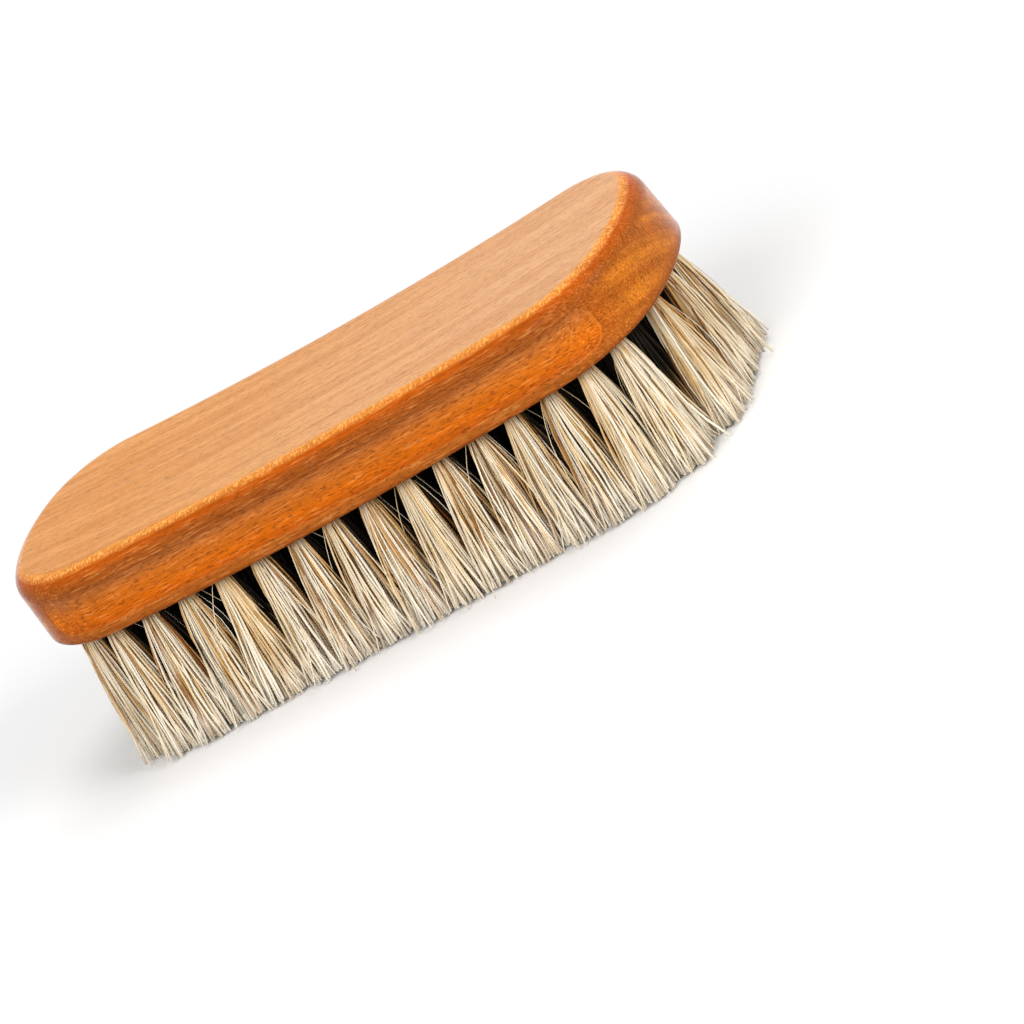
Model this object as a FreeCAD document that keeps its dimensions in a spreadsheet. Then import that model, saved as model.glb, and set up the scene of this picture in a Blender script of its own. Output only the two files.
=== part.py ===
import FreeCAD, Part
import math
import os
import Sketcher
from FreeCAD import Placement, Rotation, Vector

# Shoe shine brush: a bent, lacquered beech block with hair tufts anchored in blind holes.
# Millimetres. X runs along the block, Z points up, and the trimmed hair tips stand on Z = 0.

driving_sizes = {
    # Block: a plank of even thickness, bent up towards both ends, with rounded ends
    "block_length": 170.0,
    "block_width": 62.0,
    "block_thickness": 17.3,
    "bend_radius": 1100.0,
    "corner_radius": 23.4,
    "end_radius": 48.8,
    "top_round": 4.8,
    "lower_chamfer": 0.8,
    # Finger groove along each long side, and how far it runs on round the corners
    "groove_height": 10.0,
    "groove_depth": 1.0,
    "groove_level": 7.7,
    "groove_wrap": 10.0,
    # Hair, its holes and its spread
    "hair_length": 29.5,
    "ring_inset": 5.5,
    "hole_diameter": 4.0,
    "hole_depth": 9.5,
    "hair_clearance": 0.05,
    "collar_length": 0.6,
    "tuft_gap": 0.3,
    "side_flare": 5.0,
    "end_draw": 2.7,
    # Flat metal anchor across each hole, and the folded hair that it holds down
    "anchor_thickness": 0.4,
    "anchor_height": 2.2,
    "anchor_lift": 1.2,
    "anchor_clearance": 0.04,
    # How far every cutter runs past the face that it opens
    "cut_overrun": 3.0,
}

# Evenly spaced columns of tufts on each half of the block, before the two that fill up the end
even_columns = 7
# Gap between the last columns at an end, as a share of the even pitch
end_gap_share = 0.8
# Rows of tufts across the block, from edge to edge, as shares of the half width
row_shares = (-1.0, -0.5, 0.0, 0.5, 1.0)
end_row_shares = (-1.0, 0.0, 1.0)
# Place of the outer tufts of an end row, as a share of the half width between the edge tufts
end_spread_share = 0.4
# A tuft fans out to its waist, a little past half of its way to the tips, and then stays nearly full
waist_way_share = 0.52
waist_fill_share = 0.86

# Holes and tufts repeat many times, so each has six flat faces, two of them facing along the block
tuft_faces = 6
face_angle = math.radians(180 / tuft_faces)

doc = FreeCAD.newDocument("shine_brush")


def make_sheet():
    sheet = doc.addObject("Spreadsheet::Sheet", "Sizes")
    for row, (alias, value) in enumerate(driving_sizes.items(), start=1):
        sheet.set(f"A{row}", alias)
        sheet.set(f"B{row}", str(value))
        sheet.setAlias(f"B{row}", alias)
    doc.recompute()
    return sheet


sheet = make_sheet()


def size(alias):
    return float(sheet.get(alias))


# Plan outline


class Outline:
    """Long oval seen from above: straight sides, and at each end an end arc between two corner arcs."""

    def __init__(self, reach, spread, corner, end):
        self.reach, self.spread = reach, spread
        self.corner, self.end = corner, end
        self.corner_y = spread - corner
        # Arcs that touch from inside have their centres one radius difference apart
        self.end_reach = end - math.sqrt((end - corner) ** 2 - self.corner_y**2)
        self.corner_x = reach - self.end_reach
        self.end_x = reach - end
        ahead = (self.corner_x - self.end_x) / (end - corner)
        self.join_x = self.end_x + end * ahead
        self.join_y = end * self.corner_y / (end - corner)

    def width_at(self, x):
        x = abs(x)
        if x <= self.corner_x:
            return self.spread
        if x <= self.join_x:
            return self.corner_y + math.sqrt(self.corner**2 - (x - self.corner_x) ** 2)
        return math.sqrt(max(self.end**2 - (x - self.end_x) ** 2, 0))

    def end_at(self, y):
        return self.end_x + math.sqrt(self.end**2 - y**2)


def grown_outline(along, across, round_growth):
    return Outline(
        size("block_length") / 2 + along,
        size("block_width") / 2 + across,
        size("corner_radius") + round_growth,
        size("end_radius") + round_growth,
    )


inset = size("ring_inset")
block_outline = grown_outline(0, 0, 0)
root_ring = grown_outline(-inset, -inset, -inset)
tip_outline = grown_outline(-size("end_draw"), size("side_flare"), 0)


# Bend of the block: a ring about a level axis over its middle, going on straight at both ends


class Bend:
    def __init__(self):
        self.top_radius = size("bend_radius")
        self.belly_radius = size("bend_radius") + size("block_thickness")
        self.axis_height = size("hair_length") + self.belly_radius
        self.angle = block_outline.corner_x / (self.top_radius + size("block_thickness") / 2)
        self.ahead = Vector(math.cos(self.angle), 0, math.sin(self.angle))
        self.up = Vector(-math.sin(self.angle), 0, math.cos(self.angle))
        self.turn = Rotation(Vector(0, -1, 0), math.degrees(self.angle))

    def point(self, level):
        """Point where the right end starts to run straight, at a level above the underside."""
        axis = Vector(0, 0, self.axis_height)
        return axis - self.up * (self.belly_radius - level)

    def belly_height(self, x):
        """Height of the underside above the tips."""
        start = self.point(0)
        if abs(x) <= start.x:
            return self.axis_height - math.sqrt(self.belly_radius**2 - x**2)
        return start.z + (abs(x) - start.x) * math.tan(self.angle)

    def level_of(self, point):
        """How far a point lies above the underside, square to it."""
        from_start = Vector(abs(point.x), 0, point.z) - self.point(0)
        if from_start.dot(self.ahead) >= 0:
            return from_start.dot(self.up)
        return self.belly_radius - Vector(point.x, 0, point.z - self.axis_height).Length


bend = Bend()

# The same derived sizes as expressions over the sheet
half_width_rule = "Sizes.block_width / 2"
corner_y_rule = f"({half_width_rule} - Sizes.corner_radius)"
end_reach_rule = f"(Sizes.end_radius - sqrt((Sizes.end_radius - Sizes.corner_radius)^2 - {corner_y_rule}^2))"
belly_radius_rule = "(Sizes.bend_radius + Sizes.block_thickness)"
bend_angle_rule = (
    f"((Sizes.block_length / 2 - {end_reach_rule}) / (Sizes.bend_radius + Sizes.block_thickness / 2) * 1 rad)"
)
axis_height_rule = f"(Sizes.hair_length + {belly_radius_rule})"
groove_tube_rule = "((Sizes.groove_height / 2)^2 + Sizes.groove_depth^2) / (2 * Sizes.groove_depth)"


# Block


def attached_sketch(body, name, role):
    sketch = body.newObject("Sketcher::SketchObject", name)
    plane = next(item for item in body.Origin.OriginFeatures if item.Role == role)
    sketch.AttachmentSupport = [(plane, "")]
    sketch.MapMode = "FlatFace"
    return sketch


def bind(sketch, rule, name, kind, *where):
    index = sketch.addConstraint(Sketcher.Constraint(kind, *where))
    sketch.renameConstraint(index, name)
    sketch.setExpression(f".Constraints.{name}", rule)


def join(sketch, kind, *where):
    sketch.addConstraint(Sketcher.Constraint(kind, *where))


def arc_about(centre, first, last):
    """Counter-clockwise arc about centre from first to last."""
    start = math.atan2(first.y - centre.y, first.x - centre.x)
    stop = math.atan2(last.y - centre.y, last.x - centre.x)
    if stop < start:
        stop += 2 * math.pi
    circle = Part.Circle(centre, Vector(0, 0, 1), (first - centre).Length)
    return Part.ArcOfCircle(circle, start, stop)


def draw_side(sketch):
    """Side view of the bent plank: two arcs about one centre, and a straight stretch at each end."""
    centre = Vector(0, bend.axis_height, 0)
    reach = block_outline.end_reach

    def corner(level, side, along):
        point = bend.point(level) + bend.ahead * along
        return Vector(side * point.x, point.z, 0)

    thickness = size("block_thickness")
    loop = [
        (0, 1, 0), (0, 1, reach), (thickness, 1, reach), (thickness, 1, 0),
        (thickness, -1, 0), (thickness, -1, reach), (0, -1, reach), (0, -1, 0),
    ]
    points = [corner(*place) for place in loop]
    belly = sketch.addGeometry(arc_about(centre, points[7], points[0]))
    top = sketch.addGeometry(arc_about(centre, points[4], points[3]))
    lines = [(0, 1), (1, 2), (2, 3), (4, 5), (5, 6), (6, 7)]
    right_low, right_end, right_top, left_top, left_end, left_low = [
        sketch.addGeometry(Part.LineSegment(points[a], points[b])) for a, b in lines
    ]
    join(sketch, "Tangent", belly, 2, right_low, 1)
    join(sketch, "Coincident", right_low, 2, right_end, 1)
    join(sketch, "Coincident", right_end, 2, right_top, 1)
    join(sketch, "Tangent", right_top, 2, top, 2)
    join(sketch, "Tangent", top, 1, left_top, 1)
    join(sketch, "Coincident", left_top, 2, left_end, 1)
    join(sketch, "Coincident", left_end, 2, left_low, 1)
    join(sketch, "Tangent", left_low, 2, belly, 1)
    join(sketch, "Perpendicular", right_end, right_low)
    join(sketch, "Perpendicular", left_end, left_low)
    join(sketch, "Coincident", belly, 3, top, 3)
    join(sketch, "PointOnObject", top, 3, -2)
    bind(sketch, axis_height_rule, "axis_height", "DistanceY", -1, 1, top, 3, bend.axis_height)
    bind(sketch, "Sizes.bend_radius", "top_bend", "Radius", top, bend.top_radius)
    bind(sketch, belly_radius_rule, "belly_bend", "Radius", belly, bend.belly_radius)
    bend_x_rule = f"{belly_radius_rule} * sin({bend_angle_rule})"
    bind(sketch, bend_x_rule, "bend_right", "DistanceX", -1, 1, right_low, 1, points[0].x)
    bind(sketch, bend_x_rule, "bend_left", "DistanceX", left_low, 2, -1, 1, points[0].x)
    bind(sketch, end_reach_rule, "end_right", "Distance", right_low, reach)
    bind(sketch, end_reach_rule, "end_left", "Distance", left_low, reach)


def draw_end_waste(sketch):
    """What is cut away round one end: outside its corner arcs and end arc, out to a loose frame."""
    plan = block_outline
    overrun = size("cut_overrun")
    low_corner, high_corner = Vector(0, -plan.corner_y, 0), Vector(0, plan.corner_y, 0)
    join_x = plan.join_x - plan.corner_x
    side_low, side_high = Vector(0, -plan.spread, 0), Vector(0, plan.spread, 0)
    join_low, join_high = Vector(join_x, -plan.join_y, 0), Vector(join_x, plan.join_y, 0)
    end_centre = Vector(plan.end_x - plan.corner_x, 0, 0)
    frame_x, frame_y = plan.end_reach + overrun, plan.spread + overrun
    frame = [
        side_high, Vector(0, frame_y, 0), Vector(frame_x, frame_y, 0),
        Vector(frame_x, -frame_y, 0), Vector(0, -frame_y, 0), side_low,
    ]
    low = sketch.addGeometry(arc_about(low_corner, side_low, join_low))
    end = sketch.addGeometry(arc_about(end_centre, join_low, join_high))
    high = sketch.addGeometry(arc_about(high_corner, join_high, side_high))
    lines = [sketch.addGeometry(Part.LineSegment(a, b)) for a, b in zip(frame, frame[1:])]
    join(sketch, "Tangent", low, 2, end, 1)
    join(sketch, "Tangent", end, 2, high, 1)
    join(sketch, "Coincident", high, 2, lines[0], 1)
    for first, second in zip(lines, lines[1:]):
        join(sketch, "Coincident", first, 2, second, 1)
    join(sketch, "Coincident", lines[-1], 2, low, 1)
    for line, direction in zip(lines, ("Vertical", "Horizontal", "Vertical", "Horizontal", "Vertical")):
        join(sketch, direction, line)
    join(sketch, "PointOnObject", low, 1, -2)
    join(sketch, "PointOnObject", low, 3, -2)
    join(sketch, "PointOnObject", high, 3, -2)
    join(sketch, "PointOnObject", high, 2, -2)
    join(sketch, "Equal", low, high)
    bind(sketch, "Sizes.corner_radius", "corner_radius", "Radius", low, plan.corner)
    bind(sketch, "Sizes.end_radius", "end_radius", "Radius", end, plan.end)
    bind(sketch, corner_y_rule, "corner_low", "DistanceY", low, 3, -1, 1, plan.corner_y)
    bind(sketch, corner_y_rule, "corner_high", "DistanceY", -1, 1, high, 3, plan.corner_y)
    frame_y_rule = f"{half_width_rule} + Sizes.cut_overrun"
    bind(sketch, frame_y_rule, "frame_high", "DistanceY", -1, 1, lines[1], 1, frame_y)
    bind(sketch, frame_y_rule, "frame_low", "DistanceY", lines[3], 1, -1, 1, frame_y)
    frame_x_rule = f"{end_reach_rule} + Sizes.cut_overrun"
    bind(sketch, frame_x_rule, "frame_end", "DistanceX", -1, 1, lines[2], 1, frame_x)


def ease_rim(body, base, kind, name, measure, alias, on_rim):
    """Fillet or chamfer along the outer edge of the top or of the underside."""
    names = []
    for index, edge in enumerate(base.Shape.Edges, start=1):
        first, last = edge.firstVertex().Point, edge.lastVertex().Point
        is_on_rim = on_rim(first) and on_rim(last) and on_rim(edge.CenterOfMass)
        runs_across = abs((last - first).dot(Vector(0, 1, 0))) > size("corner_radius")
        is_seam = runs_across and edge.Curve.TypeId == "Part::GeomLine"
        if is_on_rim and not is_seam:
            names.append(f"Edge{index}")
    eased = body.newObject(kind, name)
    eased.Base = (base, names)
    eased.setExpression(measure, f"Sizes.{alias}")
    doc.recompute()
    return eased


def make_blank():
    """The block before it is grooved and drilled."""
    body = doc.addObject("PartDesign::Body", "Blank")
    side = attached_sketch(body, "SideView", "XZ_Plane")
    draw_side(side)
    plank = body.newObject("PartDesign::Pad", "BentPlank")
    plank.Profile = side
    plank.Midplane = True
    plank.setExpression("Length", "Sizes.block_width")
    doc.recompute()
    full = body.Shape.Volume

    waste = attached_sketch(body, "EndWaste", "XY_Plane")
    start = bend.point(0)
    waste.AttachmentOffset = Placement(start, bend.turn)
    waste.setExpression("AttachmentOffset.Base.x", f"{belly_radius_rule} * sin({bend_angle_rule})")
    low_rule = f"{axis_height_rule} - {belly_radius_rule} * cos({bend_angle_rule})"
    waste.setExpression("AttachmentOffset.Base.z", low_rule)
    waste.setExpression("AttachmentOffset.Rotation.Angle", bend_angle_rule)
    draw_end_waste(waste)
    end = body.newObject("PartDesign::Pocket", "RoundedEnd")
    end.Profile = waste
    end.Type = "ThroughAll"
    end.Midplane = True
    doc.recompute()
    one_end = full - body.Shape.Volume

    both = body.newObject("PartDesign::Mirrored", "BothEnds")
    both.Originals = [end]
    middle = next(item for item in body.Origin.OriginFeatures if item.Role == "YZ_Plane")
    both.MirrorPlane = (middle, [""])
    body.Tip = both
    doc.recompute()
    if not full - body.Shape.Volume > one_end > 0:
        raise RuntimeError("the ends of the block were not both cut round")

    half = size("block_thickness") / 2
    is_high, is_low = (lambda p: bend.level_of(p) > half), (lambda p: bend.level_of(p) < half)
    top = ease_rim(body, both, "PartDesign::Fillet", "TopRound", "Radius", "top_round", is_high)
    ease_rim(body, top, "PartDesign::Chamfer", "LowerEdge", "Size", "lower_chamfer", is_low)
    return body


def groove_cutter(side):
    """Round-nosed cut along one long side that goes on round both corners, with a ball at each end."""
    tube = ((size("groove_height") / 2) ** 2 + size("groove_depth") ** 2) / (2 * size("groove_depth"))
    offset = tube - size("groove_depth")
    level = size("groove_level")
    across = Vector(0, side, 0)
    run_radius = bend.belly_radius - level
    wrap = size("groove_wrap") / size("corner_radius")
    run = doc.addObject("Part::Torus", "GrooveRun")
    run.setExpression("Radius1", f"{belly_radius_rule} - Sizes.groove_level")
    run.setExpression("Radius2", groove_tube_rule)
    run.setExpression("Angle3", f"2 * {bend_angle_rule}")
    left_up = Vector(-bend.up.x, 0, bend.up.z)
    turned = Rotation(-left_up, Vector(bend.ahead.x, 0, -bend.ahead.z), Vector(), "XYZ")
    axis_point = Vector(0, 0, bend.axis_height) + across * (size("block_width") / 2 + offset)
    run.Placement = Placement(axis_point, turned)
    pieces = [run]
    for end in (-1, 1):
        ahead = Vector(end * bend.ahead.x, 0, bend.ahead.z)
        up = Vector(end * bend.up.x, 0, bend.up.z)
        corner_point = Vector(0, 0, bend.axis_height) - up * run_radius
        corner_point += across * block_outline.corner_y
        turn = doc.addObject("Part::Torus", "GrooveTurn")
        turn.setExpression("Radius1", f"Sizes.corner_radius + {groove_tube_rule} - Sizes.groove_depth")
        turn.setExpression("Radius2", groove_tube_rule)
        turn.setExpression("Angle3", "Sizes.groove_wrap / Sizes.corner_radius * 1 rad")
        stop = across * math.cos(wrap) + ahead * math.sin(wrap)
        starts_at_side = across.cross(ahead).dot(up) > 0
        first, quarter = (across, ahead) if starts_at_side else (stop, up.cross(stop))
        turn.Placement = Placement(corner_point, Rotation(first, quarter, up, "XYZ"))
        ball = doc.addObject("Part::Sphere", "GrooveEnd")
        ball.setExpression("Radius", groove_tube_rule)
        ball.Placement = Placement(corner_point + stop * (size("corner_radius") + offset), Rotation())
        pieces += [turn, ball]
    cutter = doc.addObject("Part::MultiFuse", "GrooveCutter")
    cutter.Shapes = pieces
    return cutter


# Tuft places


class Tuft:
    """One tuft: where its hole opens in the underside, and the cell that its tips fill."""

    def __init__(self, root_x, root_y, tip_x, tip_y, tip_along, tip_across):
        self.root = Vector(root_x, root_y, bend.belly_height(root_x))
        self.tip = Vector(tip_x, tip_y, 0)
        self.tip_along, self.tip_across = tip_along, tip_across
        self.lean = (self.root - self.tip) / self.root.z

    def at_height(self, height):
        """Point on the tuft's axis."""
        return self.tip + self.lean * height

    def frame(self):
        """Turn that takes Z to the axis and keeps X along the block."""
        across = self.lean.cross(Vector(1, 0, 0))
        return Rotation(across.cross(self.lean), across, self.lean, "ZYX")


def column_places():
    """Columns from the middle to the right end: an even pitch, then two closer ones that fill up the end."""
    pitch = root_ring.reach / (even_columns - 0.5 + 2 * end_gap_share)
    places = [pitch * (k + 0.5) for k in range(even_columns)]
    return places + [root_ring.reach - pitch * end_gap_share, root_ring.reach]


def column_bounds(places):
    """Ends of the tip cells along the block: halfway between columns, out to the end of the tip face."""
    halfway = [(a + b) / 2 for a, b in zip(places, places[1:])]
    return [0.0] + halfway + [tip_outline.reach]


def column_tufts(root_x, low, high, shares, is_end):
    tip_x = (low + high) / 2
    tip_along = (high - low - size("tuft_gap")) / 2
    edge_y = root_ring.spread * end_spread_share if is_end else root_ring.width_at(root_x)
    tip_edge = tip_outline.width_at(tip_x)
    cell = 2 * tip_edge / len(shares)
    tip_across = (cell - size("tuft_gap")) / 2
    tufts = []
    for share in shares:
        root_y = edge_y * share
        x = root_ring.end_at(root_y) if is_end else root_x
        tufts.append(Tuft(x, root_y, tip_x, (tip_edge - cell / 2) * share, tip_along, tip_across))
    return tufts


def opposite(tuft):
    return Tuft(-tuft.root.x, tuft.root.y, -tuft.tip.x, tuft.tip.y, tuft.tip_along, tuft.tip_across)


def all_columns():
    """Columns of tufts from the left end to the right end."""
    places = column_places()
    bounds = column_bounds(places)
    right = []
    for index, root_x in enumerate(places):
        is_end = index == len(places) - 1
        shares = end_row_shares if is_end else row_shares
        right.append(column_tufts(root_x, bounds[index], bounds[index + 1], shares, is_end))
    left = [[opposite(tuft) for tuft in column] for column in reversed(right)]
    return left + right


# Holes, hair and anchors


def hole_cutter(tuft):
    hole = doc.addObject("Part::Prism", "HoleCutter")
    hole.Polygon = tuft_faces
    hole.setExpression("Circumradius", f"Sizes.hole_diameter / 2 / cos({face_angle} rad)")
    hole.setExpression("Height", "Sizes.hole_depth + Sizes.cut_overrun")
    turned = Rotation(Vector(0, 0, 1), math.degrees(face_angle))
    lean = turned.inverted().multVec(tuft.lean)
    hole.FirstAngle = math.degrees(math.atan(lean.x))
    hole.SecondAngle = math.degrees(math.atan(lean.y))
    hole.Placement = Placement(tuft.at_height(tuft.root.z - size("cut_overrun")), turned)
    return hole


def section(centre, along, across):
    """Corners of a tuft's level outline: six sides, with corners on the line across the block."""
    shoulder = across - along * math.tan(face_angle)
    half = [(along, shoulder), (0, across), (-along, shoulder)]
    return [centre + Vector(x, y, 0) for x, y in half + [(-x, -y) for x, y in half]]


def round_section(tuft, height):
    radius = size("hole_diameter") / 2 - size("hair_clearance")
    return section(tuft.at_height(height), radius, radius / math.cos(face_angle))


def flat_face(points):
    return Part.Face(Part.makePolygon(points + points[:1]))


def flat_loft(sections):
    """Solid between level outlines whose sides stay parallel, so that every face is flat."""
    faces = [flat_face(sections[0]), flat_face(sections[-1])]
    for high, low in zip(sections, sections[1:]):
        for corner in range(tuft_faces):
            faces.append(flat_face([high[corner - 1], high[corner], low[corner], low[corner - 1]]))
    return Part.makeSolid(Part.makeShell(faces))


def anchor_plate(tuft, room, length):
    """Upright plate across the hole near its bottom, grown by room on its thickness and height."""
    thickness, height = size("anchor_thickness") + 2 * room, size("anchor_height") + 2 * room
    plate = Part.makeBox(length, thickness, height, Vector(-length / 2, -thickness / 2, -height / 2))
    depth = size("hole_depth") - size("anchor_lift") - size("anchor_height") / 2
    plate.Placement = Placement(tuft.at_height(tuft.root.z + depth), tuft.frame())
    return plate


def tuft_solid(tuft):
    """Folded bundle: straight in its hole, fanned out below it, with a slot where the anchor lies."""
    collar = tuft.root.z - size("collar_length")
    waist = collar * (1 - waist_way_share)
    along, across = tuft.tip_along, tuft.tip_across
    fill = waist_fill_share
    bundle = flat_loft(
        [
            round_section(tuft, tuft.root.z + size("hole_depth") - size("hair_clearance")),
            round_section(tuft, collar),
            section(tuft.at_height(waist), along * fill, across * fill),
            section(tuft.tip, along, across),
        ]
    )
    return bundle.cut(anchor_plate(tuft, size("hair_clearance"), size("hole_diameter")))


def anchor_solid(tuft):
    upright_share = 1 / tuft.lean.Length
    return anchor_plate(tuft, 0, size("hole_diameter") * upright_share - size("anchor_clearance"))


def add_group(name, solids):
    group = doc.addObject("Part::Feature", name)
    group.Label = name
    group.Shape = Part.makeCompound(solids)
    group.Placement = Placement()
    return group


columns = all_columns()
tufts = [tuft for column in columns for tuft in column]
cutters = doc.addObject("Part::Compound", "Cutters")
cutters.Links = [groove_cutter(side) for side in (-1, 1)] + [hole_cutter(tuft) for tuft in tufts]
block = doc.addObject("Part::Cut", "Block")
block.Base = make_blank()
block.Tool = cutters
block.Label = "handle_block"

nodes = [block]
for number, column in enumerate(columns, start=1):
    nodes.append(add_group(f"tuft_column_{number:02d}", [tuft_solid(tuft) for tuft in column]))
nodes.append(add_group("tuft_anchors", [anchor_solid(tuft) for tuft in tufts]))
doc.recompute()

for item in doc.Objects:
    if "Invalid" in item.State or "Error" in item.State:
        raise RuntimeError(f"{item.Label} did not build: {item.State}")
for node in nodes:
    if node.Shape.isNull() or not node.Shape.isValid():
        raise RuntimeError(f"{node.Label} has no valid shape")

os.makedirs("parts", exist_ok=True)
for node in nodes:
    node.Shape.exportStep(f"parts/{node.Label}.step")
    print(node.Label, len(node.Shape.Solids), "solids", round(node.Shape.Volume), "mm3")
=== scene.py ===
import math
import bmesh
import bpy
import numpy as np
from mathutils import Matrix, Vector


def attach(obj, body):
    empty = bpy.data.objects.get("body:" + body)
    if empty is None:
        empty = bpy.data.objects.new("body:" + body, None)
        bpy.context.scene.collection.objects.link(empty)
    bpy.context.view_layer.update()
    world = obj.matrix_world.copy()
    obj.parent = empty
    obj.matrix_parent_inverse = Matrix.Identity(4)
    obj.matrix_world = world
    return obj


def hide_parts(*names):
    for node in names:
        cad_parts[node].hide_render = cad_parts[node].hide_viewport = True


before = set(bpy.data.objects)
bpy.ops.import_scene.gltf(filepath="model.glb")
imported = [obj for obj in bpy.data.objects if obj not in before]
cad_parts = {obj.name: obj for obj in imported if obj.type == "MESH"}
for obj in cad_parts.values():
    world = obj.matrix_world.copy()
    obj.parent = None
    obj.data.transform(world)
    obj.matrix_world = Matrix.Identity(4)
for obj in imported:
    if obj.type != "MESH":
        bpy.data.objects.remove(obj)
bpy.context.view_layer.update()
print("frame loaded:", len(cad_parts), "nodes")

sameSpot = 1e-6  # points closer than this, in metres, are one
white = (1.0, 1.0, 1.0, 1.0)


def srgb(red, green, blue):
    # screen colour from 0 to 255 as the linear colour that a socket takes
    parts = [c / 255 for c in (red, green, blue)]
    return tuple(c / 12.92 if c < 0.04045 else ((c + 0.055) / 1.055) ** 2.4 for c in parts) + (1.0,)


def addNode(tree, kind, inputs=None, **settings):
    node = tree.nodes.new(kind)
    for name, value in settings.items():
        setattr(node, name, value)
    for socket, value in (inputs or {}).items():
        if isinstance(value, bpy.types.NodeSocket):
            tree.links.new(value, node.inputs[socket])
        else:
            node.inputs[socket].default_value = value
    return node


def mathNode(tree, operation, first, second=0.0):
    return addNode(tree, "ShaderNodeMath", {0: first, 1: second}, operation=operation).outputs[0]


def vectorNode(tree, operation, first, second):
    return addNode(tree, "ShaderNodeVectorMath", {0: first, 1: second}, operation=operation).outputs[0]


def mixColor(tree, factor, first, second, blend="MIX"):
    inputs = {0: factor, 6: first, 7: second}  # the colour sockets of a mix
    return addNode(tree, "ShaderNodeMix", inputs, data_type="RGBA", blend_type=blend).outputs[2]


def stretch(tree, value, low, high, toLow=0.0, toHigh=1.0):
    inputs = {"Value": value, "From Min": low, "From Max": high, "To Min": toLow, "To Max": toHigh}
    return addNode(tree, "ShaderNodeMapRange", inputs, interpolation_type="SMOOTHSTEP").outputs[0]


def rampColor(tree, factor, stops, interpolation="LINEAR"):
    node = addNode(tree, "ShaderNodeValToRGB", {0: factor})
    node.color_ramp.interpolation = interpolation
    elements = node.color_ramp.elements
    for index, (position, color) in enumerate(stops):
        element = elements[index] if index < 2 else elements.new(position)  # a new ramp has two
        element.position = position
        element.color = color
    return node.outputs[0]


def noiseAt(tree, place, scale, detail):
    moved = addNode(tree, "ShaderNodeMapping", {"Vector": place, "Scale": scale})
    return addNode(tree, "ShaderNodeTexNoise", {"Vector": moved.outputs[0], "Scale": 1.0, "Detail": detail})


def newMaterial(name):
    material = bpy.data.materials.new(name)
    material.use_nodes = True
    tree = material.node_tree
    return material, tree, tree.nodes["Principled BSDF"]


def meshFrom(shape, name):
    mesh = bpy.data.meshes.new(name)
    shape.to_mesh(mesh)
    shape.free()
    return mesh


def addObject(name, data):
    made = bpy.data.objects.new(name, data)
    bpy.context.scene.collection.objects.link(made)
    return made


# Wooden block

blockShape = {
    "length": 0.170,
    "width": 0.062,
    "thickness": 0.0173,
    "underside": 0.0295,
    "bendRadius": 1.1,
    "cornerRadius": 0.0234,
    "endRadius": 0.0488,
    "topRound": 0.0048,
    "lowerEase": 0.0008,
    "grooveHeight": 0.010,
    "grooveDepth": 0.001,
    "grooveLevel": 0.0077,
    "grooveWrap": 0.010,
    "cornerSteps": 40,
    "endSteps": 24,
    "sideCuts": 40,
    "easeSteps": 3,
    "wallSteps": 30,
    "roundSteps": 10,
}
cornerY = blockShape["width"] / 2 - blockShape["cornerRadius"]
radiusGap = blockShape["endRadius"] - blockShape["cornerRadius"]
endX = blockShape["length"] / 2 - blockShape["endRadius"]
cornerX = endX + math.sqrt(radiusGap**2 - cornerY**2)
cornerTurn = math.atan2(cornerX - endX, cornerY)


def outwards(point):
    # sideways direction away from the block's outline at a point of its wall
    x, y = abs(point.x), abs(point.y)
    if x <= cornerX + sameSpot:
        flat = Vector((0, 1, 0))
    elif math.atan2(x - endX, y) >= cornerTurn:
        flat = Vector((x - endX, y, 0))
    else:
        flat = Vector((x - cornerX, y - cornerY, 0))
    return Vector((math.copysign(flat.x, point.x), math.copysign(flat.y, point.y), 0)).normalized()


def grooveCut(point):
    # how deep the finger groove is at a point of the wall
    height, depth = blockShape["grooveHeight"], blockShape["grooveDepth"]
    tube = ((height / 2) ** 2 + depth**2) / (2 * depth)
    corner = blockShape["cornerRadius"]
    centre = corner + tube - depth
    turn = math.asin(min(1.0, abs(outwards(point).x)))
    beyond = max(0.0, turn - blockShape["grooveWrap"] / corner)
    room = tube**2 - (point.z - blockShape["grooveLevel"]) ** 2 - (centre * math.sin(beyond)) ** 2
    return max(0.0, corner - centre * math.cos(beyond) + math.sqrt(room)) if room > 0 else 0.0


def bendUp(point):
    # flat plank to bent plank: a ring over the middle, straight ends
    belly = blockShape["bendRadius"] + blockShape["thickness"]
    inner = max(-cornerX, min(cornerX, point.x))
    angle = inner / (blockShape["bendRadius"] + blockShape["thickness"] / 2)
    radius, rest = belly - point.z, point.x - inner
    x = radius * math.sin(angle) + rest * math.cos(angle)
    z = blockShape["underside"] + belly - radius * math.cos(angle) + rest * math.sin(angle)
    return Vector((x, point.y, z))


def wallProfile():
    # inset and height of each ring, from the underside up to the top
    ease, rounding, top = blockShape["lowerEase"], blockShape["topRound"], blockShape["thickness"]
    strip = ease / 2  # level border of the underside and of the top
    lowTurns = np.linspace(0, math.pi / 2, blockShape["easeSteps"] + 1)
    low = [(ease * (1 - math.sin(a)), ease * (1 - math.cos(a))) for a in lowTurns]
    wall = [(0.0, h) for h in np.linspace(ease, top - rounding, blockShape["wallSteps"])[1:]]
    highTurns = np.linspace(0, math.pi / 2, blockShape["roundSteps"] + 1)[1:]
    high = [(rounding * (1 - math.cos(a)), top - rounding * (1 - math.sin(a))) for a in highTurns]
    return [(low[0][0] + strip, 0.0)] + low + wall + high + [(rounding + strip, top)]


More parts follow.
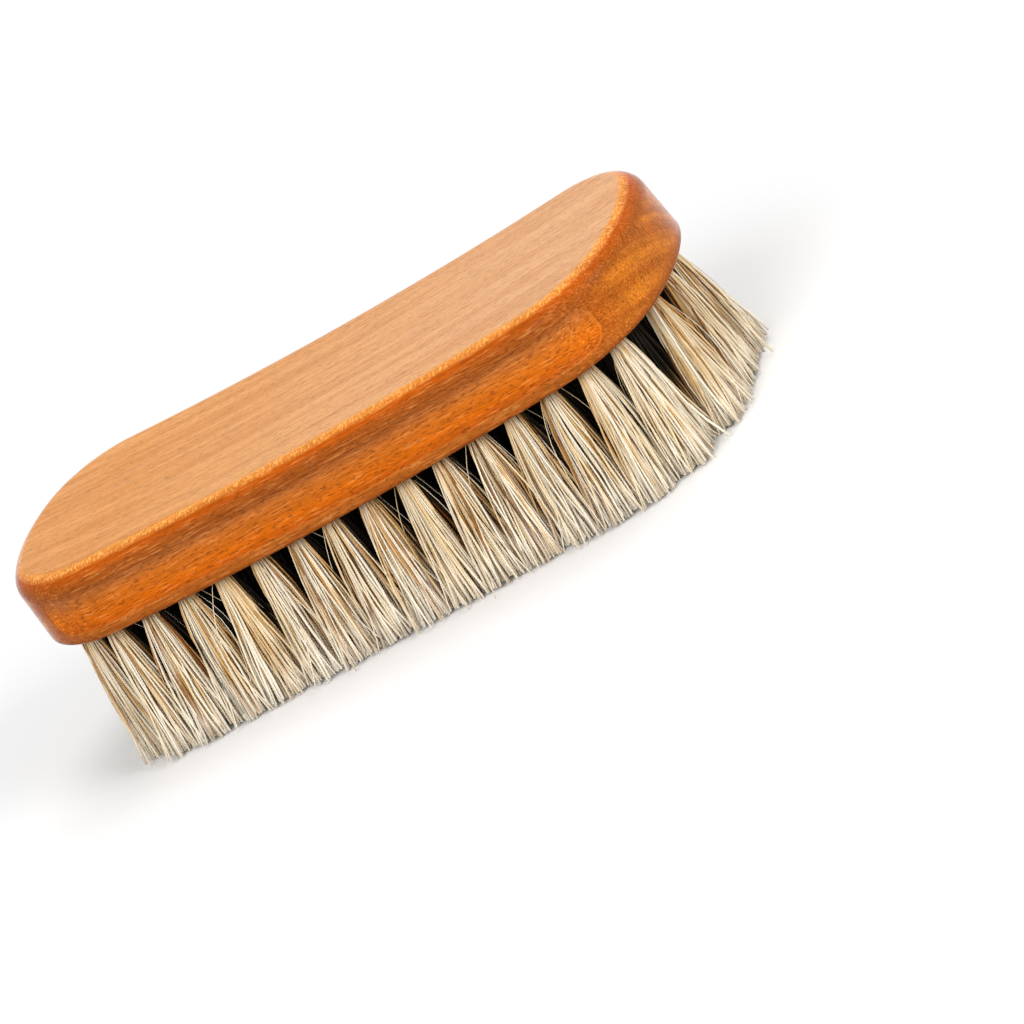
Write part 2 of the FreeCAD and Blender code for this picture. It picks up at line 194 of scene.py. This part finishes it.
def capRing(shape, ring):
    # closes a ring with strips that run straight across the block
    verts = list({vert for edge in ring for vert in edge.verts})
    bmesh.ops.contextual_create(shape, geom=ring)
    front = sorted((v for v in verts if v.co.y < -sameSpot), key=lambda v: v.co.x)
    back = sorted((v for v in verts if v.co.y > sameSpot), key=lambda v: v.co.x)
    for pair in zip(front, back, strict=True):
        bmesh.ops.connect_verts(shape, verts=pair)


def makeBlock():
    shape = bmesh.new()
    flank = blockShape["width"] / 2
    profile = wallProfile()
    # right half of the outline: corner, end and corner, then half of each long side
    first = bmesh.ops.create_vert(shape, co=(cornerX, -flank, 0))["vert"][0]
    last = first
    arcs = [
        ((cornerX, -cornerY, 0), cornerTurn, blockShape["cornerSteps"]),
        ((endX, 0, 0), math.pi - 2 * cornerTurn, blockShape["endSteps"]),
        ((cornerX, cornerY, 0), cornerTurn, blockShape["cornerSteps"]),
    ]
    for centre, angle, steps in arcs:
        turned = bmesh.ops.spin(shape, geom=[last], cent=centre, axis=(0, 0, 1), angle=angle, steps=steps)
        last = next(item for item in turned["geom_last"] if isinstance(item, bmesh.types.BMVert))
    sides = bmesh.ops.extrude_vert_indiv(shape, verts=[first, last])
    for vert in sides["verts"]:
        vert.co.x = 0
    bmesh.ops.subdivide_edges(shape, edges=sides["edges"], cuts=blockShape["sideCuts"])
    bmesh.ops.mirror(shape, geom=shape.verts[:] + shape.edges[:], axis="X", merge_dist=sameSpot)
    bmesh.ops.remove_doubles(shape, verts=shape.verts, dist=sameSpot)

    # wall ring by ring, closed below and on top
    ring = shape.edges[:]
    for vert in shape.verts:
        vert.co -= outwards(vert.co) * profile[0][0]
    capRing(shape, ring)
    for (inset, height), (nextInset, nextHeight) in zip(profile, profile[1:]):
        raised = bmesh.ops.extrude_edge_only(shape, edges=ring)["geom"]
        for vert in (item for item in raised if isinstance(item, bmesh.types.BMVert)):
            vert.co += outwards(vert.co) * (inset - nextInset)
            vert.co.z = nextHeight
        ring = [item for item in raised if isinstance(item, bmesh.types.BMEdge)]
    capRing(shape, ring)

    # groove, then the bend; the depth of the groove and the height in the plank are kept for the wood
    hollow = shape.verts.layers.float.new("hollow")
    level = shape.verts.layers.float.new("level")
    for vert in shape.verts:
        cut = grooveCut(vert.co)
        vert[hollow] = cut / blockShape["grooveDepth"]
        vert[level] = vert.co.z / blockShape["thickness"]
        vert.co = bendUp(vert.co - outwards(vert.co) * cut)
    bmesh.ops.recalc_face_normals(shape, faces=shape.faces)
    for face in shape.faces:
        face.smooth = True
    block = addObject("woodenBlock", meshFrom(shape, "woodenBlock"))
    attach(block, "root")
    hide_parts("handle_block")
    return block


# Lacquered beech

beech = {
    # flat top, and a painted sheen that makes it paler towards one end
    "topTan": srgb(218, 150, 80),
    "topShade": srgb(203, 132, 62),
    "topPale": srgb(219, 162, 108),
    "topPaleShade": srgb(208, 147, 93),
    "paleReach": (-0.06, 0.07),  # along the block
    "topFibres": 0.17,
    "topFlecks": 0.32,
    "topFacing": (0.975, 0.994),  # how level a face is before it counts as the top
    # stain by the height in the plank, from the underside up, with painted shade along the lower edge and
    # above the groove, and a painted highlight where the round edge meets the top
    "wallBands": [
        # painted shade along the lower edge
        (0.00, srgb(128, 58, 4)),  # lower edge
        (0.09, srgb(170, 90, 26)),  # lip below the groove
        (0.30, srgb(174, 86, 15)),  # corners beyond the groove
        (0.62, srgb(171, 85, 18)),
        (0.74, srgb(150, 74, 20)),  # shade above the groove
        (0.84, srgb(165, 83, 20)),
        (0.93, srgb(182, 80, 2)),  # round top edge
        # painted highlight where the round edge meets the top
        (0.99, srgb(230, 144, 58)),
    ],
    # inside the groove, by the same height: painted light on the lower half, which faces up, and painted
    # shade on the upper half, which faces down
    "grooveBands": [
        (0.15, srgb(176, 77, 2)),
        (0.30, srgb(207, 101, 4)),
        (0.46, srgb(200, 105, 24)),
        (0.64, srgb(181, 102, 43)),
        (0.73, srgb(150, 74, 20)),
    ],
    "grooveEdge": (0.0, 0.08),
    # painted highlight along the groove's edge, on faces turned up
    "rim": srgb(226, 146, 66),
    "rimRise": (0.0, 0.03),
    "rimFall": (0.2, 0.05),
    "rimUp": (-0.3, 0.1),
    "rimShare": 0.22,
    # end grain
    "endOrange": srgb(209, 119, 30),
    "endDark": srgb(183, 96, 20),
    "endFacing": (0.55, 0.92),
    "endTop": (0.82, 0.68),
    "endFoot": (0.08, 0.2),
    "endRings": (0.4, 0.62),
    "endHatch": 0.28,
    # marks of the grain on the sides
    "fleck": srgb(88, 40, 8),
    "pale": srgb(246, 178, 104),
    "sideGrain": 0.22,
    "sideFibres": 0.24,
    "sidePale": 0.22,
    "sideFlecks": (0.9, 0.5, 0.1, 0.5),  # fewer where the edge turns up
    # scratches where the rounded edge meets the top: a painted glint colour, and a bump
    "glint": srgb(248, 180, 98),
    "scratchRise": (0.76, 0.93),
    "scratchFall": (0.999, 0.985),
    "scratchShare": 0.66,
    "scratchRelief": 1.5,
    # growth rings about an axis along the plank
    "ringAxis": (0.0, -0.04, -0.045),
    "ringsPerMetre": 300.0,
    "ringDetail": 3.0,
    "swayNoise": ((6.0, 30.0, 30.0), 2.0),
    "sway": (0.0, 0.005, 0.005),
    # scale along, across and up, and detail
    "noises": {
        "broad": ((7.0, 230.0, 230.0), 3.0),
        "lines": ((14.0, 800.0, 800.0), 4.0),
        "fibres": ((190.0, 2600.0, 2600.0), 3.0),
        "flecks": ((600.0, 3000.0, 3000.0), 2.0),
        "hatch": ((300.0, 1700.0, 420.0), 2.0),
        "scratches": ((2000.0, 950.0, 950.0), 2.0),
    },
    "grainMix": (0.45, 0.35, 0.2),  # broad tone, lines, rings
    "grainCut": (0.38, 0.62),
    "fibreCut": (0.46, 0.66),
    "paleCut": (0.46, 0.30),
    "fleckCut": (0.55, 0.63),
    "hatchCut": (0.48, 0.68),
    "scratchCut": (0.48, 0.64),
    # gloss
    "roughness": (0.3, 0.7, 0.30, 0.46),
    "bump": {"Strength": 0.3, "Distance": 0.0002},
    "specular": 0.05,
    "coat": (0.58, 0.95, 0.01, 0.7),  # from faces seen straight on to faces seen at a low angle
    "coatRoughness": 0.12,
}


def makeBeech():
    material, tree, shader = newMaterial("lacqueredBeech")
    place = addNode(tree, "ShaderNodeTexCoord").outputs["Object"]
    along = addNode(tree, "ShaderNodeSeparateXYZ", {0: place}).outputs[0]
    surface = addNode(tree, "ShaderNodeNewGeometry").outputs["Normal"]
    normal = addNode(tree, "ShaderNodeSeparateXYZ", {0: surface}).outputs
    endwards, up = mathNode(tree, "ABSOLUTE", normal[0]), normal[2]
    hollow = addNode(tree, "ShaderNodeAttribute", attribute_name="hollow").outputs["Fac"]
    level = addNode(tree, "ShaderNodeAttribute", attribute_name="level").outputs["Fac"]

    def mask(value, key):
        # value over one of the ranges above
        return stretch(tree, value, *beech[key])

    def share(*factors):
        # product of masks and weights
        total = factors[0]
        for factor in factors[1:]:
            total = mathNode(tree, "MULTIPLY", total, factor)
        return total

    # growth rings, bent a little by slow noise
    sway = noiseAt(tree, place, *beech["swayNoise"]).outputs["Color"]
    swayed = vectorNode(tree, "ADD", place, vectorNode(tree, "MULTIPLY", sway, beech["sway"]))
    fromAxis = vectorNode(tree, "SUBTRACT", swayed, beech["ringAxis"])
    across = addNode(tree, "ShaderNodeSeparateXYZ", {0: fromAxis}).outputs
    squares = [mathNode(tree, "POWER", across[axis], 2.0) for axis in (1, 2)]
    radius = mathNode(tree, "SQRT", mathNode(tree, "ADD", *squares))
    ringInputs = {
        "W": mathNode(tree, "MULTIPLY", radius, beech["ringsPerMetre"]),
        "Scale": 1.0,
        "Detail": beech["ringDetail"],
    }
    rings = addNode(tree, "ShaderNodeTexNoise", ringInputs, noise_dimensions="1D").outputs["Fac"]

    # broad tone, lines, fibres and short dark flecks along the grain
    noise = {name: noiseAt(tree, place, *look).outputs["Fac"] for name, look in beech["noises"].items()}
    fibres = mask(noise["fibres"], "fibreCut")
    flecks = mask(noise["flecks"], "fleckCut")
    mixed = zip((noise["broad"], noise["lines"], rings), beech["grainMix"])
    broadPart, linePart, ringPart = (share(value, weight) for value, weight in mixed)
    grain = mask(mathNode(tree, "ADD", broadPart, mathNode(tree, "ADD", linePart, ringPart)), "grainCut")

    # flat top: tan, with a painted sheen that makes it paler towards one end
    sheenAlong = mask(along, "paleReach")
    topLight = mixColor(tree, sheenAlong, beech["topTan"], beech["topPale"])
    topDark = mixColor(tree, sheenAlong, beech["topShade"], beech["topPaleShade"])
    topGrain = mixColor(tree, grain, topLight, topDark)
    topFibred = mixColor(tree, share(fibres, beech["topFibres"]), topGrain, beech["fleck"])
    top = mixColor(tree, share(flecks, beech["topFlecks"]), topFibred, beech["fleck"])

    # sides: bands of stain, painted shade and painted highlight over the profile; the ends show rings and
    # hatch
    wall = rampColor(tree, level, beech["wallBands"])
    endMask = share(mask(endwards, "endFacing"), mask(level, "endTop"), mask(level, "endFoot"))
    end = mixColor(tree, mask(rings, "endRings"), beech["endOrange"], beech["endDark"])
    hatch = share(mask(noise["hatch"], "hatchCut"), beech["endHatch"])
    plain = mixColor(tree, endMask, wall, mixColor(tree, hatch, end, beech["fleck"]))
    groove = rampColor(tree, level, beech["grooveBands"])
    # the groove's bands, with their painted light and shade, over the plain wall
    stainAndShade = mixColor(tree, mask(hollow, "grooveEdge"), plain, groove)
    # painted highlight along the groove's edge
    rimHighlightLine = share(mask(hollow, "rimRise"), mask(hollow, "rimFall"), mask(up, "rimUp"))
    rimHighlighted = mixColor(tree, share(rimHighlightLine, beech["rimShare"]), stainAndShade, beech["rim"])

    # grain, fibres and flecks over the stain and the painted shade
    streaked = mixColor(tree, share(grain, beech["sideGrain"]), rimHighlighted, beech["fleck"])
    fibred = mixColor(tree, share(fibres, beech["sideFibres"]), streaked, beech["fleck"])
    paleFibres = mask(noise["fibres"], "paleCut")
    lightened = mixColor(tree, share(paleFibres, beech["sidePale"]), fibred, beech["pale"])
    sides = mixColor(tree, share(flecks, mask(up, "sideFlecks")), lightened, beech["fleck"])

    # a painted glint colour on small scratches where the rounded edge meets the top
    scratches = mask(noise["scratches"], "scratchCut")
    scratchAndGlintBand = share(scratches, mask(up, "scratchRise"), mask(up, "scratchFall"))
    glinted = mixColor(tree, share(scratchAndGlintBand, beech["scratchShare"]), sides, beech["glint"])
    tree.links.new(mixColor(tree, mask(up, "topFacing"), glinted, top), shader.inputs["Base Color"])

    tree.links.new(mask(noise["lines"], "roughness"), shader.inputs["Roughness"])
    dents = mathNode(tree, "SUBTRACT", share(scratchAndGlintBand, beech["scratchRelief"]), flecks)
    bump = addNode(tree, "ShaderNodeBump", {"Height": dents, **beech["bump"]})
    tree.links.new(bump.outputs[0], shader.inputs["Normal"])
    shader.inputs["Specular IOR Level"].default_value = beech["specular"]
    # the lacquer shows its gloss at low angles
    facing = addNode(tree, "ShaderNodeLayerWeight").outputs["Facing"]
    tree.links.new(mask(facing, "coat"), shader.inputs["Coat Weight"])
    shader.inputs["Coat Roughness"].default_value = beech["coatRoughness"]
    return material


makeBlock().data.materials.append(makeBeech())
print("block: lacquered beech")


# Anchors

anchorSteel = {
    "bright": (0.62, 0.60, 0.57, 1.0),
    "dull": (0.42, 0.40, 0.38, 1.0),
    "drawnLines": ((900.0, 120.0, 4000.0), 3.0),
    "roughness": (0.2, 0.8, 0.3, 0.5),
}


def makeAnchorSteel():
    material, tree, shader = newMaterial("anchorSteel")
    place = addNode(tree, "ShaderNodeTexCoord").outputs["Object"]
    lines = noiseAt(tree, place, *anchorSteel["drawnLines"]).outputs["Fac"]
    color = mixColor(tree, lines, anchorSteel["bright"], anchorSteel["dull"])
    tree.links.new(color, shader.inputs["Base Color"])
    tree.links.new(stretch(tree, lines, *anchorSteel["roughness"]), shader.inputs["Roughness"])
    shader.inputs["Metallic"].default_value = 1.0
    return material


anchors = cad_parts["tuft_anchors"]
anchors.data.materials.clear()
anchors.data.materials.append(makeAnchorSteel())
print("anchors: drawn steel")


# Horsehair

hairTones = [
    # tone, share of the strands
    (srgb(230, 220, 200), 0.32),
    (srgb(228, 211, 180), 0.29),
    (srgb(222, 198, 156), 0.19),
    (srgb(205, 169, 115), 0.09),
    (srgb(178, 131, 74), 0.055),
    (srgb(138, 91, 44), 0.035),
    (srgb(90, 58, 29), 0.013),
    (srgb(44, 31, 21), 0.007),
]
hair = {
    "seed": 7,
    "edgeStrands": 360,
    "innerStrands": 220,
    "edgePoints": 7,
    "innerPoints": 4,
    "radius": 0.00029,
    "radiusSpread": (0.7, 1.2),
    "rootShare": 0.65,  # thickness at the root
    "holeRadius": 0.0015,
    "startDepth": 0.002,  # above the tuft's collar
    "spread": (1.06, 1.1),  # along and across the block
    "tipNoise": 0.0006,
    "crossShare": 0.14,
    "crossNoise": 0.002,
    "locks": 24,
    "lockPull": 0.35,
    "lockSpread": (0.2, 1.0),
    "lockTone": 0.2,
    "bow": 0.0006,
    "wave": 0.00025,
    "trim": 0.0008,
    # strands that leave their tuft
    "strayStrands": 9,
    "strayPoints": 10,
    "strayReach": 1.45,
    "strayBow": 0.0022,
    "strayTones": 3,
    "strayThick": 0.45,
    # layers of the palette: face of a tuft, behind it, and inside the brush; the two deeper layers carry
    # painted shade
    "layers": 3,
    "frontDepth": (0.15, 0.75),
    "deepDepth": (0.85, 1.0),
    "endColumns": 3,  # columns whose outer side counts as a face
    "sidePlaces": (0.3, 0.43, 0.57, 0.7),  # a strand's four sides within its column of the palette
    "paintReach": (0.02, 0.98),
    # tints of painted shade, and where they fade between root and tip
    # painted shade: darker, warmer roots next to the block
    "rootTint": (0.88, 0.77, 0.61, 1.0),
    "rootFade": (0.0, 0.3),
    # painted shade: browner strands behind the face of a tuft
    "brownTint": (0.72, 0.51, 0.29, 1.0),
    "brownFade": (0.45, 0.85),
    # painted shade: the inner tufts near black, lifting only at their tips
    "duskTint": (0.030, 0.026, 0.022, 1.0),
    "innerFade": (0.88, 1.0),
    # paler cut ends, partly painted light that lifts the shaded tips
    "cutTone": srgb(249, 241, 225),
    "cutFade": (0.6, 0.95, 0.0, 0.45),
    "roughness": (0.0, 1.0, 0.55, 0.38),
    "specular": 0.15,
}
rng = np.random.default_rng(hair["seed"])
toneEnds = np.cumsum([share for tone, share in hairTones])[:-1]
strandSides = len(hair["sidePlaces"])


def makeHorsehair():
    material, tree, shader = newMaterial("horsehair")
    painted = addNode(tree, "ShaderNodeUVMap", uv_map="OFBake").outputs[0]
    column, height = addNode(tree, "ShaderNodeSeparateXYZ", {0: painted}).outputs[:2]

    def fade(key, atRoot, atTip):
        return mixColor(tree, stretch(tree, height, *hair[key]), atRoot, atTip)

    # strands at the face of a tuft, painted shade in brown on the ones behind them, and painted shade near
    # black on the inner ones
    behind = mathNode(tree, "GREATER_THAN", column, 1 / hair["layers"])
    inner = mathNode(tree, "GREATER_THAN", column, 2 / hair["layers"])
    toneAt = mathNode(tree, "FRACT", mathNode(tree, "MULTIPLY", column, hair["layers"]))
    stops = [(index / len(hairTones), tone) for index, (tone, share) in enumerate(hairTones)]
    tones = rampColor(tree, toneAt, stops, "CONSTANT")
    # paler cut ends, partly painted light on the shaded tips
    tipsPaleAndLit = fade("cutFade", tones, hair["cutTone"])  # cut ends look paler
    faceRootShade = fade("rootFade", hair["rootTint"], white)
    behindShade = fade("brownFade", hair["brownTint"], white)
    innerShade = fade("innerFade", fade("brownFade", hair["duskTint"], hair["brownTint"]), white)
    paintedShade = mixColor(tree, inner, mixColor(tree, behind, faceRootShade, behindShade), innerShade)
    tree.links.new(mixColor(tree, 1.0, tipsPaleAndLit, paintedShade, "MULTIPLY"), shader.inputs["Base Color"])
    tree.links.new(stretch(tree, height, *hair["roughness"]), shader.inputs["Roughness"])
    shader.inputs["Specular IOR Level"].default_value = hair["specular"]
    return material


def readTufts(node):
    # every loose island of a column's solid is one tuft, with level sections from the tips up to its hole
    tipLevel, collarLevel, levelDigits = 0, 2, 5
    shape = bmesh.new()
    shape.from_mesh(node.data)
    bmesh.ops.remove_doubles(shape, verts=shape.verts, dist=sameSpot)
    waiting, tufts = set(shape.verts), []
    while waiting:
        island, edge = set(), [waiting.pop()]
        while edge:
            vert = edge.pop()
            island.add(vert)
            for link in vert.link_edges:
                other = link.other_vert(vert)
                if other in waiting:
                    waiting.discard(other)
                    edge.append(other)
        points = np.array([v.co for v in island])
        heights = points[:, 2].round(levelDigits)
        levels = np.unique(heights)
        tip, collar = (points[heights == levels[at]] for at in (tipLevel, collarLevel))
        tufts.append({"tip": tip.mean(0), "half": np.ptp(tip, axis=0)[:2] / 2, "collar": collar.mean(0)})
    shape.free()
    return sorted(tufts, key=lambda tuft: tuft["tip"][1])


def discSpread(count):
    # even spread over a disc, and the same places pulled out to fill a square
    goldenTurn = math.pi * (3 - math.sqrt(5))
    turn = np.arange(count) * goldenTurn
    reach = np.sqrt((np.arange(count) + 0.5) / count)
    disc = np.stack([reach * np.cos(turn), reach * np.sin(turn)], 1)
    square = disc / np.maximum(np.abs(np.cos(turn)), np.abs(np.sin(turn)))[:, None]
    return disc, square


def strandPaths(tuft, count, points, reachShare=1.0, bowSize=hair["bow"]):
    # straight fans from the hole to the trimmed face, each strand with a slight bow
    disc, square = discSpread(count)
    lean = (tuft["collar"] - tuft["tip"]) / tuft["collar"][2]
    start = tuft["collar"] + lean * hair["startDepth"]
    reach = tuft["half"] * np.array(hair["spread"]) * reachShare
    crossing = rng.random((count, 1)) < hair["crossShare"]
    scatter = np.where(crossing, hair["crossNoise"], hair["tipNoise"])
    tips = square * reach + rng.normal(0, 1, (count, 2)) * scatter
    # neighbouring strands gather into locks and share their tone
    lockAt = rng.uniform(-1, 1, (hair["locks"], 2)) * reach
    lock = np.linalg.norm(tips[:, None] - lockAt[None], axis=2).argmin(1)
    tips += (lockAt[lock] - tips) * hair["lockPull"] * rng.uniform(*hair["lockSpread"], (count, 1))
    luck = np.where(rng.random(count) < hair["lockTone"], rng.random(hair["locks"])[lock], rng.random(count))
    tipPlace = np.empty((count, 3))
    tipPlace[:, :2] = tuft["tip"][:2] + tips
    tipPlace[:, 2] = hair["radius"] + np.abs(rng.normal(0, hair["trim"], count))
    rootPlace = np.empty((count, 3))
    rootPlace[:, :2] = start[:2] + disc * hair["holeRadius"]
    rootPlace[:, 2] = start[2]
    way = np.linspace(0, 1, points)[None, :, None]
    paths = rootPlace[:, None] + (tipPlace - rootPlace)[:, None] * way
    paths[:, :, :2] += rng.normal(0, bowSize, (count, 1, 2)) * np.sin(math.pi * way)
    paths[:, :, :2] += rng.normal(0, hair["wave"], (count, 1, 2)) * np.sin(2 * math.pi * way)
    thick = rng.uniform(*hair["radiusSpread"], count)
    return {"paths": paths, "tones": np.searchsorted(toneEnds, luck), "thick": thick, "place": tips / reach}


def strayPaths(tuft):
    # pale, thin, bowed strands that leave the tuft
    group = strandPaths(tuft, hair["strayStrands"], hair["strayPoints"], hair["strayReach"], hair["strayBow"])
    group["tones"] = rng.integers(0, hair["strayTones"], hair["strayStrands"])
    group["thick"][:] = hair["strayThick"]
    return group


def columnStrands(tufts, fromEnd):
    # strands of one column of tufts; fromEnd counts the columns between it and the nearer end
    groups = []
    for index, tuft in enumerate(tufts):
        side = (index == len(tufts) - 1) - (index == 0)
        if side or fromEnd == 0:
            group = strandPaths(tuft, hair["edgeStrands"], hair["edgePoints"])
            # depth behind the tuft's free sides, along and across the block
            free = np.array([np.sign(tuft["tip"][0]) * (fromEnd < hair["endColumns"]), side])
            depth = 1 - (group["place"] * free).max(1)
            limits = (hair["frontDepth"], hair["deepDepth"])
            layer = sum(depth > rng.uniform(*limit, len(depth)) for limit in limits)
            group["tones"] += len(hairTones) * layer
            groups += [group, strayPaths(tuft)]
        else:
            group = strandPaths(tuft, hair["innerStrands"], hair["innerPoints"])
            group["tones"] += len(hairTones) * (hair["layers"] - 1)
            groups.append(group)
    return groups


def strandMesh(name, groups):
    # strands are drawn as thin round curves, then turned into a mesh
    curve = bpy.data.curves.new(name, "CURVE")
    curve.dimensions = "3D"
    curve.bevel_depth = hair["radius"]
    curve.bevel_resolution = 0
    for group in groups:
        count, points = group["paths"].shape[:2]
        taper = np.linspace(hair["rootShare"], 1.0, points)
        flat = np.ones((count, points, 4))
        flat[:, :, :3] = group["paths"]
        for path, thick in zip(flat, group["thick"]):
            spline = curve.splines.new("POLY")
            spline.points.add(points - 1)
            spline.points.foreach_set("co", path.ravel())
            spline.points.foreach_set("radius", taper * thick)
    drawn = addObject(name + "Curve", curve)
    mesh = bpy.data.meshes.new_from_object(drawn.evaluated_get(bpy.context.evaluated_depsgraph_get()))
    bpy.data.objects.remove(drawn)
    mesh.name = name
    shape = bmesh.new()
    shape.from_mesh(mesh)
    bmesh.ops.holes_fill(shape, edges=shape.edges, sides=strandSides)
    shape.to_mesh(mesh)
    shape.free()
    return mesh


def paintStrands(mesh, groups):
    # each strand takes one column of the palette, from its root at the bottom to its tip at the top
    columns = hair["layers"] * len(hairTones)
    uPlaces, vPlaces = [], []
    for group in groups:
        count, points = group["paths"].shape[:2]
        around = np.tile(hair["sidePlaces"], count * points)
        uPlaces.append((np.repeat(group["tones"], points * strandSides) + around) / columns)
        vPlaces.append(np.tile(np.repeat(np.linspace(*hair["paintReach"], points), strandSides), count))
    uPlace, vPlace = np.concatenate(uPlaces), np.concatenate(vPlaces)
    corner = np.empty(len(mesh.loops), int)
    mesh.loops.foreach_get("vertex_index", corner)
    layer = mesh.uv_layers.new(name="OFBake")
    layer.uv.foreach_set("vector", np.stack([uPlace[corner], vPlace[corner]], 1).ravel())


horsehair = makeHorsehair()
columnNames = sorted(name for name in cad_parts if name.startswith("tuft_column"))
for order, name in enumerate(columnNames):
    groups = columnStrands(readTufts(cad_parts[name]), min(order, len(columnNames) - 1 - order))
    strandName = "hair" + name.replace("tuft_column", "Column").replace("_", "")
    mesh = strandMesh(strandName, groups)
    paintStrands(mesh, groups)
    mesh.materials.append(horsehair)
    mesh.polygons.foreach_set("use_smooth", np.ones(len(mesh.polygons), bool))
    strands = addObject(strandName, mesh)
    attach(strands, "root")
    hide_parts(name)
print("hair columns:", len(columnNames))


# Floor, light and camera

studio = {
    "floorSize": 8.0,
    "floorColor": (0.80, 0.80, 0.80, 1.0),
    "floorLift": (0.03, 0.62),
    "liftReach": (0.1, 1.6),
    "worldStrength": 0.48,
    "lamps": [
        # name, place, aim, size, watts
        ("keyLamp", (0.5, 0.8, 2.2), (0.0, 0.0, 0.02), 1.3, 20.0),
        ("frontLamp", (-0.1, -2.0, 1.4), (0.0, 0.0, 0.02), 1.8, 37.0),
        ("endLamp", (1.9, -0.6, 1.0), (0.0, 0.0, 0.02), 1.2, 25.0),
    ],
}


def seenRay(tree):
    # 1 where the camera looks, directly or through a reflection
    path = addNode(tree, "ShaderNodeLightPath").outputs
    mirrored = mathNode(tree, "MAXIMUM", path["Is Glossy Ray"], path["Is Transmission Ray"])
    return mathNode(tree, "MAXIMUM", path["Is Camera Ray"], mirrored)


def makeFloor():
    shape = bmesh.new()
    bmesh.ops.create_grid(shape, x_segments=1, y_segments=1, size=studio["floorSize"] / 2)
    floor = addObject("floor", meshFrom(shape, "floor"))
    material, tree, shader = newMaterial("paleFloor")
    shader.inputs["Base Color"].default_value = studio["floorColor"]
    shader.inputs["Roughness"].default_value = 1.0
    shader.inputs["Specular IOR Level"].default_value = 0.0
    # lifted to white away from the lamps, and little near the object, so that the shadow stays
    place = addNode(tree, "ShaderNodeTexCoord").outputs["Object"]
    away = addNode(tree, "ShaderNodeVectorMath", {0: place}, operation="LENGTH").outputs["Value"]
    lift = stretch(tree, away, *studio["liftReach"], *studio["floorLift"])
    glow = addNode(tree, "ShaderNodeEmission", {"Strength": mathNode(tree, "MULTIPLY", seenRay(tree), lift)})
    both = addNode(tree, "ShaderNodeAddShader", {0: shader.outputs[0], 1: glow.outputs[0]})
    tree.links.new(both.outputs[0], tree.nodes["Material Output"].inputs["Surface"])
    floor.data.materials.append(material)


def makeWorld():
    world = bpy.data.worlds.new("studio")
    world.use_nodes = True
    tree = world.node_tree
    background = tree.nodes["Background"]
    background.inputs["Color"].default_value = white
    # white where it is seen, softer as a light
    inputs = {"Value": seenRay(tree), "To Min": studio["worldStrength"], "To Max": 1.0}
    strength = addNode(tree, "ShaderNodeMapRange", inputs)
    tree.links.new(strength.outputs[0], background.inputs["Strength"])
    bpy.context.scene.world = world


def addLamp(name, place, aim, size, watts):
    lamp = bpy.data.lights.new(name, "AREA")
    lamp.shape = "DISK"
    lamp.size = size
    lamp.energy = watts
    holder = addObject(name, lamp)
    holder.location = place
    holder.rotation_euler = (Vector(aim) - Vector(place)).to_track_quat("-Z", "Y").to_euler()


camera = {
    "place": (0.56781, -1.09098, 0.43947),
    "aim": (0.01668, 0.00101, -0.00077),
    "roll": -38.12,
    "lens": 210.5,
    "sensor": 36.0,
    "farthest": 20.0,
}


def makeCamera():
    data = bpy.data.cameras.new("camera")
    data.lens = camera["lens"]
    data.sensor_width = camera["sensor"]
    data.clip_end = camera["farthest"]
    holder = addObject("camera", data)
    level = (Vector(camera["aim"]) - Vector(camera["place"])).to_track_quat("-Z", "Y").to_matrix()
    rolled = level @ Matrix.Rotation(math.radians(camera["roll"]), 3, "Z")
    holder.location = camera["place"]
    holder.rotation_euler = rolled.to_euler()
    bpy.context.scene.camera = holder


makeFloor()
makeWorld()
for lamp in studio["lamps"]:
    addLamp(*lamp)
makeCamera()
bpy.context.scene.view_settings.view_transform = "Standard"
print("studio ready")
